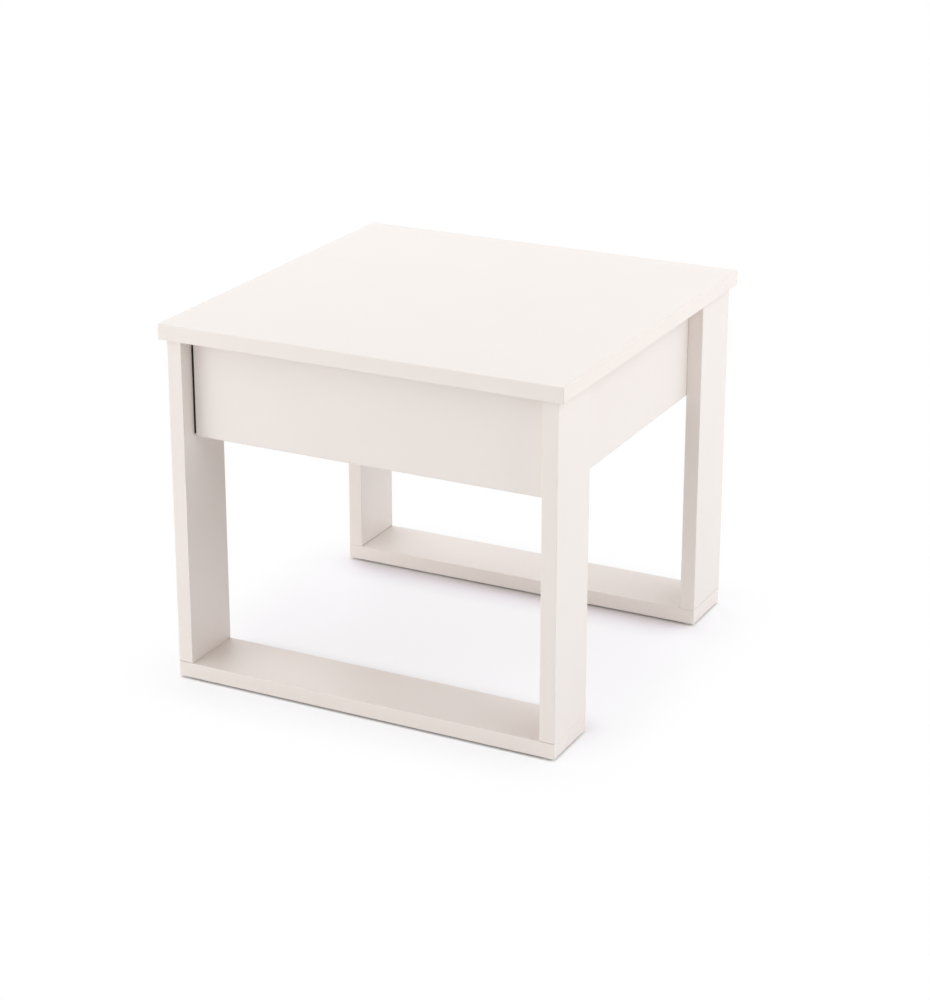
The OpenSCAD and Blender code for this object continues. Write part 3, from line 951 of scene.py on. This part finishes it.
@dataclass
class Case(SubAssembly):
    """The tabletop and the case that holds the drawer under it."""

    top_radius: float = 1.0 * MM
    top_band: float = 1.6 * MM
    stretcher_radius: float = 0.5 * MM
    sheared: Rounding = Rounding(0.35 * MM)
    shortest_sheared: float = 1.5 * MM
    # Share of a buffer's height that stays straight under its dome
    dome_skirt: float = 0.25
    strip_thick: float = 0.8 * MM
    strip_edge: Rounding = Rounding(0.24 * MM)
    strip_inset: float = 0.5 * MM
    strip_end: float = 3.0 * MM

    def build(self) -> list[bpy.types.Object]:
        """Build the boards of the case, its brackets, buffers and the dark strips of painted shade in the
        drawer front's slits.

        Returns:
            The finished pieces.
        """
        trims = [self.brackets(), self.bumpers(), self.strips()]
        boards = (
            Board(self.palette, "tabletop", radius=self.top_radius, band=self.top_band),
            *(Board(self.palette, f"side_panel_{hand.word}", holes_show=True) for hand in Hand),
            Board(self.palette, "back_panel"),
            Board(
                self.palette, "front_stretcher", holes_show=True, radius=self.stretcher_radius,
                raw=(Side.LEFT, Side.RIGHT),
            ),
        )
        return trims + [board.build() for board in boards]

    def brackets(self) -> bpy.types.Object:
        """Soften the sheared edges of the angle brackets.

        Returns:
            All brackets as one piece.
        """
        bm = merged_copy("top_brackets")
        self.sheared.ease(bm, [
            edge for edge in bm.edges
            if edge.calc_length() > self.shortest_sheared
            and edge.is_manifold
            and abs(edge.calc_face_angle()) > CORNER
        ])
        return self.finish(bm, "angle_brackets", Slot.ZINC_STEEL, (Finish.ZINC,), ("top_brackets",))

    def bumpers(self) -> bpy.types.Object:
        """Dome the soft buffers that the drawer front closes against.

        Returns:
            All buffers as one piece.
        """
        bm = bmesh.new()
        towards_front = Matrix.Rotation(math.radians(90), 4, "X")
        for low, high in islands("drawer_bumpers"):
            height = high.y - low.y
            radius = (high.x - low.x) / 2
            skirt = height * self.dome_skirt
            curve = height - skirt
            dome = bmesh.new()
            lathe(dome, (0, 0), 0, [
                (0, 0), (radius, 0), (radius, skirt), *arc(radius - curve, skirt, curve, 0, 90), (0, height),
            ])
            seat = Matrix.Translation(((low.x + high.x) / 2, high.y, (low.z + high.z) / 2))
            bmesh.ops.transform(dome, matrix=seat @ towards_front, verts=dome.verts[:])
            take_in(bm, dome)
        return self.finish(bm, "bumper_domes", Slot.BUMPER_RUBBER, (Finish.BUMPER,), ("drawer_bumpers",))

    def strips(self) -> bpy.types.Object:
        """Put a dark strip of painted shade on each front leg, in the slit beside the drawer front.

        Returns:
            Both strips as one piece.
        """
        bm = bmesh.new()
        # Each strip is painted shade that darkens the slit, not a part of the table
        front_low, front_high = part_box("drawer_front")
        for hand in Hand:
            leg_low, leg_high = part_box(f"leg_front_{hand.word}")
            stuck = leg_high.x if hand is Hand.LEFT else leg_low.x
            free = stuck - hand.value * self.strip_thick
            strip = box_mesh(
                Vector((min(stuck, free), front_low.y + self.strip_inset, front_low.z + self.strip_end)),
                Vector((max(stuck, free), front_high.y - self.strip_inset, front_high.z)),
            )
            self.strip_edge.ease(strip, strip.edges[:])
            take_in(bm, strip)
        return self.finish(bm, "painted_slit_shade_strips", Slot.BUMPER_RUBBER, (Finish.FOAM,))


@dataclass
class Drawer(SubAssembly):
    """The drawer's boards."""

    front_radius: float = 1.0 * MM
    box_radius: float = 0.6 * MM
    box_band: float = 0.9 * MM
    sheet_edge: Rounding = Rounding(0.2 * MM)
    # Faces whose normal rises more than this are lacquered
    looks_up: float = 0.5

    def build(self) -> list[bpy.types.Object]:
        """Build the drawer front, the box behind it and its bottom.

        Returns:
            The finished pieces.
        """
        box = {"body": Body.DRAWER, "radius": self.box_radius, "band": self.box_band}
        boards = (
            Board(self.palette, "drawer_front", Body.DRAWER, holes_show=True, radius=self.front_radius),
            *(Board(self.palette, f"drawer_side_{hand.word}", holes_show=True, **box) for hand in Hand),
            Board(self.palette, "drawer_back", **box),
        )
        return [board.build() for board in boards] + [self.bottom()]

    def bottom(self) -> bpy.types.Object:
        """Build the thin bottom panel, lacquered above and raw below.

        Returns:
            The finished panel.
        """
        bm = box_mesh(*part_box("drawer_bottom"))
        self.sheet_edge.ease(bm, bm.edges[:])
        finishes = (Finish.LACQUER, Finish.FIBRE)
        for face in bm.faces:
            finish = Finish.LACQUER if face.normal.z > self.looks_up else Finish.FIBRE
            face.material_index = finishes.index(finish)
        return self.finish(
            bm, "drawer_bottom_sheet", Slot.HARDBOARD, finishes, ("drawer_bottom",), Body.DRAWER.value,
        )


@dataclass
class DrawerSlide(SubAssembly):
    """The rolled members of one ball-bearing slide."""

    hand: Hand
    bend: Rounding = Rounding(1.5 * MM, 4)
    crease: Rounding = Rounding(0.3 * MM, 3)
    shear: Rounding = Rounding(0.25 * MM)
    # Narrower faces are the sheet's cut edges
    wide: float = 1.8 * MM
    shortest: float = 2.0 * MM

    def build(self) -> list[bpy.types.Object]:
        """Roll the three members and dress the cages and balls between them.

        Returns:
            The finished members.
        """
        side = self.hand.word
        for row in (Member.OUTER, Member.INNER):
            self.palette.dress_node(f"ball_cage_{row.value}_{side}", Finish.ROLLED)
            self.palette.dress_node(f"balls_{row.value}_{side}", Finish.BALL)
        carriers = {
            Member.OUTER: Body.TABLE_FRAME.value,
            Member.MIDDLE: f"slide_member_{side}",
            Member.INNER: Body.DRAWER.value,
        }
        return [self.roll(f"slide_{member.value}_{side}", body) for member, body in carriers.items()]

    def roll(self, node: str, body: str) -> bpy.types.Object:
        """Bend the long edges of a member's section and ease its sheared ones.

        Args:
            node: CAD node that the member stands for.
            body: Body that it rides on.

        Returns:
            The finished member.
        """
        bm = merged_copy(node)
        for rounding in (self.bend, self.crease, self.shear):
            edges = [edge for edge in bm.edges if self.rounding_of(edge) is rounding]
            if edges:
                rounding.ease(bm, edges)
        return self.finish(bm, f"{node}_channel", Slot.SLIDE_STEEL, (Finish.ROLLED,), (node,), body)

    def rounding_of(self, edge: bmesh.types.BMEdge) -> Rounding | None:
        """Choose how an edge of a member is rounded.

        Args:
            edge: Any edge of the section drawn out along Y.

        Returns:
            The rounding, or none where the edge stays.
        """
        first, second = (vert.co for vert in edge.verts)
        along = second - first
        if along.length < self.shortest or abs(along.y) < along.length * AXIS_ALIGNED or not edge.is_manifold:
            return None
        if abs(edge.calc_face_angle()) < CORNER:
            return None
        if min(self.width_of(face) for face in edge.link_faces) < self.wide:
            return self.shear if edge.is_convex else None
        return self.bend if edge.is_convex else self.crease

    def width_of(self, face: bmesh.types.BMFace) -> float:
        """Width of a face that is drawn out along Y, the larger of its extents along X and Z."""
        places = [(vert.co.x, vert.co.z) for vert in face.verts]
        return max(max(line) - min(line) for line in zip(*places))


@dataclass
class Fasteners(SubAssembly):
    """Screws, cams and dowels, whose CAD shapes stay."""

    zinc: tuple[str, ...] = (
        "bracket_screws", "stretcher_screws", "rail_screws", "leg_panel_screws", "case_screws", "cam_locks",
        "cam_bolts", "drawer_back_screws", "drawer_bottom_screws", "slide_case_screws", "slide_drawer_screws",
    )
    beech: tuple[str, ...] = ("rail_dowels", "leg_top_dowels", "drawer_dowels")

    def dress(self) -> None:
        """Give every fastener its finish."""
        for nodes, finish in ((self.zinc, Finish.ZINC), (self.beech, Finish.BEECH)):
            for node in nodes:
                self.palette.dress_node(node, finish)


@dataclass(frozen=True)
class Softbox:
    """A square area lamp aimed at the table, its angles in degrees from straight in front and level."""

    name: str
    azimuth: float
    elevation: float
    distance: float
    size: float
    power: float
    colour: Point = (1.0, 1.0, 1.0)

    def build(self, target: Vector) -> None:
        """Place the lamp round a target.

        Args:
            target: Point that the lamp faces.
        """
        turn, rise = math.radians(self.azimuth), math.radians(self.elevation)
        away = Vector((
            math.sin(turn) * math.cos(rise), -math.cos(turn) * math.cos(rise), math.sin(rise),
        ))
        data = bpy.data.lights.new(self.name, "AREA")
        data.size = self.size
        data.energy = self.power
        data.color = self.colour
        lamp = bpy.data.objects.new(self.name, data)
        lamp.location = target + away * self.distance
        lamp.rotation_euler = (-away).to_track_quat("-Z", "Y").to_euler()
        lamp.visible_camera = False
        lamp.visible_glossy = False
        bpy.context.scene.collection.objects.link(lamp)


@dataclass(frozen=True)
class ShadeZone:
    """Rectangle of the floor, mirrored across both axes, in and near which shadow shows.

    White is the share of white that is mixed in there, which grows to one over the fade.
    """

    middle: Point
    half: Point
    fade: float
    white: float


def combined(tree: Tree, operation: str, first: Socket, second: Socket) -> Socket:
    """Combine two numbers.

    Args:
        tree: Node tree that the step belongs to.
        operation: Blender's name of the way they combine.
        first: Socket of one number.
        second: Socket of the other.

    Returns:
        The result's socket.
    """
    node = tree.nodes.new("ShaderNodeMath")
    node.operation = operation
    for source, socket in zip((first, second), node.inputs):
        tree.links.new(source, socket)
    return node.outputs["Value"]


def mixed_shader(tree: Tree, share: Socket, first: Socket, second: Socket) -> Socket:
    """Mix two shaders.

    Args:
        tree: Node tree that the step belongs to.
        share: How much of the second one shows, from 0 to 1.
        first: Shader socket below.
        second: Shader socket above.

    Returns:
        The mixed shader's socket.
    """
    node = tree.nodes.new("ShaderNodeMixShader")
    for source, socket in zip((share, first, second), node.inputs):
        tree.links.new(source, socket)
    return node.outputs["Shader"]


def seen_directly(tree: Tree) -> Socket:
    """Tell the rays that see the white apart from those that light the table.

    Args:
        tree: Node tree of the world or of the floor.

    Returns:
        Socket of one for camera, glossy and transmission rays, and zero for others.
    """
    path = tree.nodes.new("ShaderNodeLightPath").outputs
    reflected = combined(tree, "MAXIMUM", path["Is Camera Ray"], path["Is Glossy Ray"])
    return combined(tree, "MAXIMUM", reflected, path["Is Transmission Ray"])


@dataclass
class Studio:
    """White floor and backdrop, soft lamps and the camera."""

    eye: Point = (1.51106, -2.96710, 1.49844)
    gaze: Point = (-0.427233, 0.844977, -0.321693)
    lens: float = 89.706
    shift: float = -0.1
    # Nearest and furthest that the camera sees
    sight: Span = (0.05, 60.0)
    ambient: float = 0.433
    aim: Point = (0.0, 0.0, 0.3)
    softboxes: tuple[Softbox, ...] = (
        Softbox("softbox_right", azimuth=80, elevation=30, distance=2.6, size=1.8, power=16.2),
        Softbox("softbox_front_left", azimuth=-42, elevation=32, distance=4.4, size=5.0, power=82.6),
        Softbox("softbox_low_front_left", azimuth=-40, elevation=6, distance=3.0, size=1.6, power=15.6),
        Softbox(
            "softbox_back_right", azimuth=130, elevation=35, distance=3.6, size=3.4, power=55.2,
            colour=(0.94, 0.97, 1.0),
        ),
        Softbox("softbox_back_left", azimuth=-130, elevation=35, distance=2.8, size=1.8, power=25.4),
    )
    floor_radius: float = 7.0
    floor_sides: int = 96
    floor_colour: Point = (0.82, 0.82, 0.82)
    under_table: ShadeZone = ShadeZone((0.0, 0.0, 0.0), (0.26, 0.264, 0.0), fade=0.15, white=0.68)
    under_rails: ShadeZone = ShadeZone((0.0, 0.244, 0.0), (0.29, 0.05, 0.0), fade=0.002, white=0.0)
    between_rails: ShadeZone = ShadeZone((0.0, 0.2, 0.0), (0.25, 0.006, 0.0), fade=0.075, white=0.0)
    tint_fade: float = 0.012
    tint_near: Point = (0.9, 0.887, 0.885)
    tint_far: Point = (0.92, 0.885, 0.95)

    def build(self) -> None:
        """Set up the whole studio."""
        self.camera()
        self.world()
        self.floor()
        for softbox in self.softboxes:
            softbox.build(Vector(self.aim))
        bpy.context.scene.view_settings.view_transform = "Standard"

    def camera(self) -> None:
        """Place the camera where the photograph was taken from."""
        data = bpy.data.cameras.new("camera")
        data.lens = self.lens
        data.shift_y = self.shift
        data.clip_start, data.clip_end = self.sight
        camera = bpy.data.objects.new("camera", data)
        camera.location = self.eye
        camera.rotation_euler = Vector(self.gaze).to_track_quat("-Z", "Y").to_euler()
        bpy.context.scene.collection.objects.link(camera)
        bpy.context.scene.camera = camera

    def world(self) -> None:
        """Light the room evenly and show white behind the table."""
        world = bpy.data.worlds.new("studio")
        world.use_nodes = True
        tree = world.node_tree
        light = tree.nodes["Background"]
        white = tree.nodes.new("ShaderNodeBackground")
        for background, strength in ((light, self.ambient), (white, 1.0)):
            background.inputs["Strength"].default_value = strength
            background.inputs["Color"].default_value = WHITE
        shown = mixed_shader(
            tree, seen_directly(tree), light.outputs["Background"], white.outputs["Background"],
        )
        tree.links.new(shown, tree.nodes["World Output"].inputs["Surface"])
        bpy.context.scene.world = world

    def floor(self) -> None:
        """Lay a pale floor that fades into the white behind it and keeps a faint shadow."""
        bm = bmesh.new()
        bmesh.ops.create_circle(bm, cap_ends=True, radius=self.floor_radius, segments=self.floor_sides)
        mesh = bpy.data.meshes.new("floor")
        bm.to_mesh(mesh)
        bm.free()
        floor = bpy.data.objects.new("floor", mesh)
        bpy.context.scene.collection.objects.link(floor)
        mesh.materials.append(self.floor_finish())

    def floor_finish(self) -> bpy.types.Material:
        """Make the floor's material.

        Returns:
            Plain pale diffuse for the light that bounces off it, and for direct views a mix with white
            that leaves the shadow faint and grows to pure white away from the table.
        """
        material = bpy.data.materials.new("floor")
        material.use_nodes = True
        tree = material.node_tree
        tree.nodes.remove(tree.nodes["Principled BSDF"])
        plain = tree.nodes.new("ShaderNodeBsdfDiffuse")
        plain.inputs["Color"].default_value = (*self.floor_colour, 1)
        shadowed = tree.nodes.new("ShaderNodeBsdfDiffuse")
        tree.links.new(self.shadow_tint(tree), shadowed.inputs["Color"])
        white = tree.nodes.new("ShaderNodeEmission")
        white.inputs["Color"].default_value = WHITE
        viewed = mixed_shader(
            tree, self.share_of_white(tree), shadowed.outputs["BSDF"], white.outputs["Emission"],
        )
        shown = mixed_shader(tree, seen_directly(tree), plain.outputs["BSDF"], viewed)
        tree.links.new(shown, tree.nodes["Material Output"].inputs["Surface"])
        return material

    def shadow_tint(self, tree: Tree) -> Socket:
        """Colour the shadowed floor, warm beside the rails and bluer further off.

        Args:
            tree: Node tree of the floor's material.

        Returns:
            The colour socket.
        """
        distance = self.distance_from(tree, self.under_rails)
        tint = tree.nodes.new("ShaderNodeValToRGB")
        for stop, colour in zip(tint.color_ramp.elements, (self.tint_near, self.tint_far)):
            stop.color = (*colour, 1)
        away = map_range(tree, distance, (0.0, self.tint_fade), (0.0, 1.0), smooth=True)
        tree.links.new(away, tint.inputs["Fac"])
        return tint.outputs["Color"]

    def share_of_white(self, tree: Tree) -> Socket:
        """Multiply the shares of white that the shade zones leave.

        Args:
            tree: Node tree of the floor's material.

        Returns:
            Socket of the share, which is one away from the table.
        """
        shares = [
            map_range(
                tree, self.distance_from(tree, zone), (0.0, zone.fade), (zone.white, 1.0), smooth=True,
            )
            for zone in (self.under_table, self.under_rails, self.between_rails)
        ]
        share = shares[0]
        for other in shares[1:]:
            share = combined(tree, "MULTIPLY", share, other)
        return share

    def distance_from(self, tree: Tree, zone: ShadeZone) -> Socket:
        """Distance of a floor point from a shade zone.

        Args:
            tree: Node tree of the floor's material.
            zone: Zone that the distance is taken from.

        Returns:
            The distance in metres, which is zero inside.
        """
        place = tree.nodes.new("ShaderNodeTexCoord").outputs["Object"]
        steps = (
            ("ABSOLUTE", None), ("SUBTRACT", zone.middle), ("ABSOLUTE", None), ("SUBTRACT", zone.half),
            ("MAXIMUM", (0, 0, 0)), ("LENGTH", None),
        )
        for operation, other in steps:
            node = tree.nodes.new("ShaderNodeVectorMath")
            node.operation = operation
            tree.links.new(place, node.inputs[0])
            if other is not None:
                node.inputs[1].default_value = other
            place = node.outputs["Value" if operation == "LENGTH" else "Vector"]
        return place


def main() -> None:
    """Build the studio and the table, piece by piece, and keep both boxes' sizes."""
    logging.basicConfig(level=logging.INFO, format="%(name)s: %(message)s")
    Studio().build()
    palette = Palette()
    slides = [DrawerSlide(palette, hand) for hand in Hand]
    for assembly in [LegFrames(palette), Case(palette), Drawer(palette)] + slides:
        for piece in assembly.build():
            LOG.info("%s: %s with %d faces", type(assembly).__name__, piece.name, len(piece.data.polygons))
    Fasteners(palette).dress()


if __name__ == "__main__":
    main()
